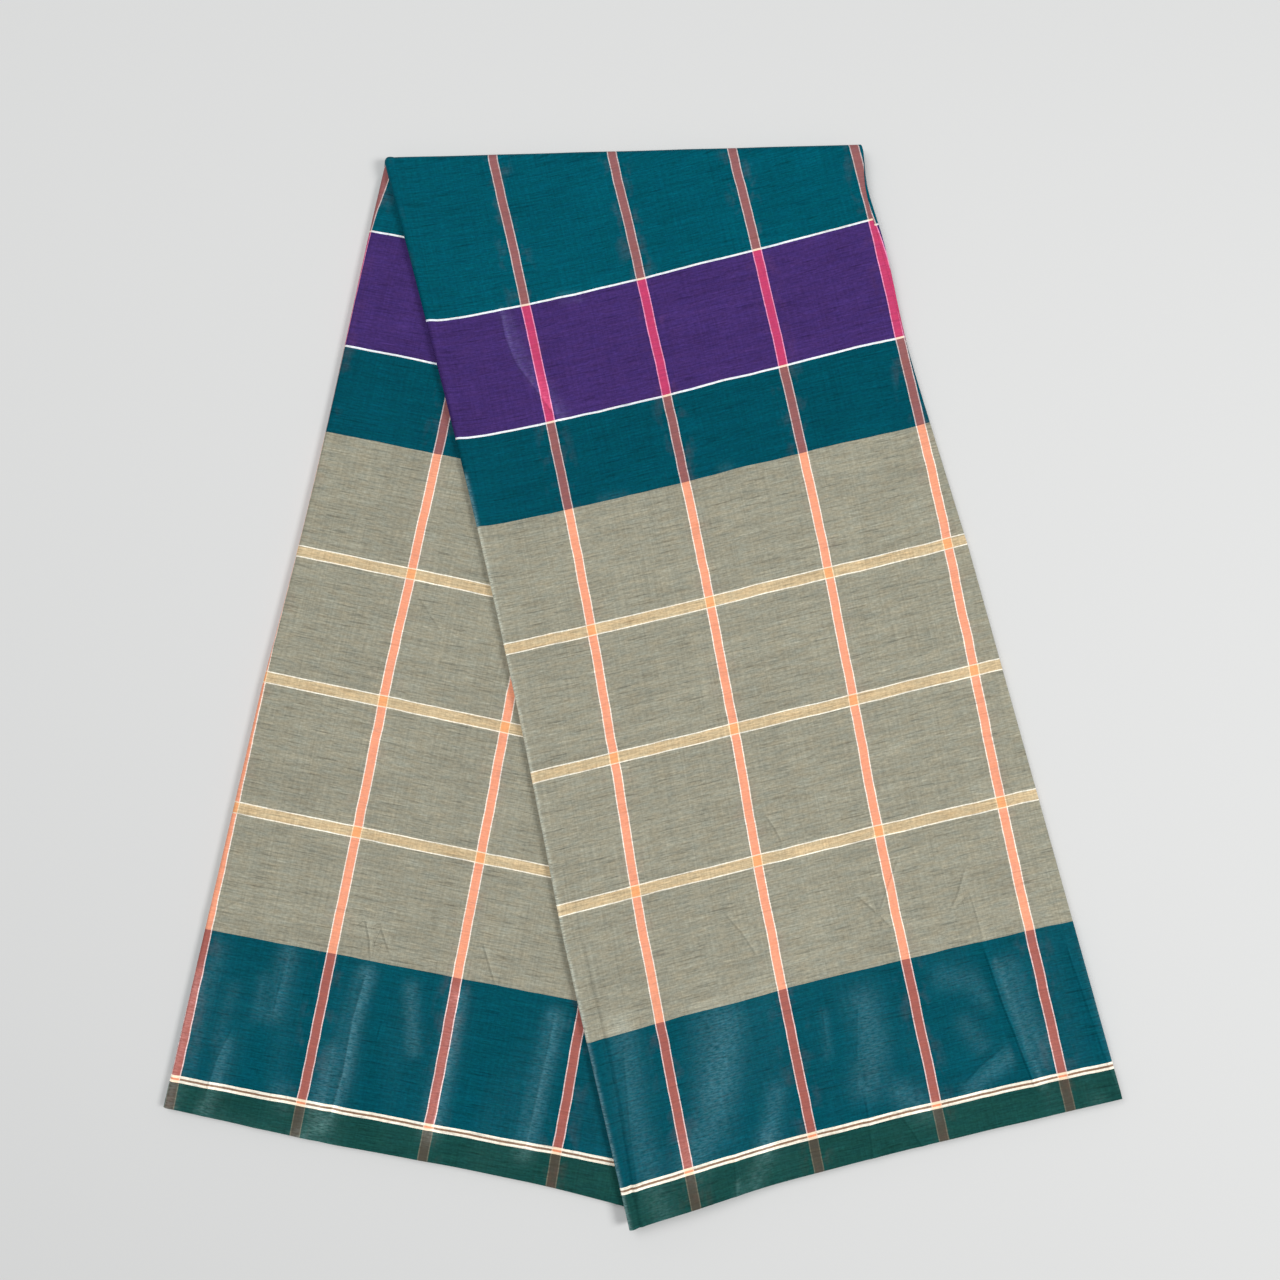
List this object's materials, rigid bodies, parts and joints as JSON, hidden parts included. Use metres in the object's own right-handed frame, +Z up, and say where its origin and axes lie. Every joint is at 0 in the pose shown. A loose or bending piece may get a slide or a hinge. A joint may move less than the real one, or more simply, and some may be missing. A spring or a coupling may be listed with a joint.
{
  "type": "folded longyi sarong",
  "caption": "Plaid cotton longyi folded lengthwise into a long flat strip and once across on a slant, lying flat with its upper leaf fanned out beside the lower one.",
  "frame": {"origin": "centre of the plan's bounding box, on the surface that the longyi rests on", "axes": "+Z up from that surface, +Y towards the cross fold, +X towards the side that the upper leaf swings to"},
  "size_m": [0.4888, 0.5752, 0.0099],
  "materials": {
    "plaid_cotton": "plain weave, pressed, with a faint sheen"
  },
  "bodies": {
    "root": {"front_leaf": "plaid_cotton", "top_fold": "plaid_cotton", "back_leaf": "plaid_cotton", "hidden_layers": "plaid_cotton"}
  },
  "joints": []
}
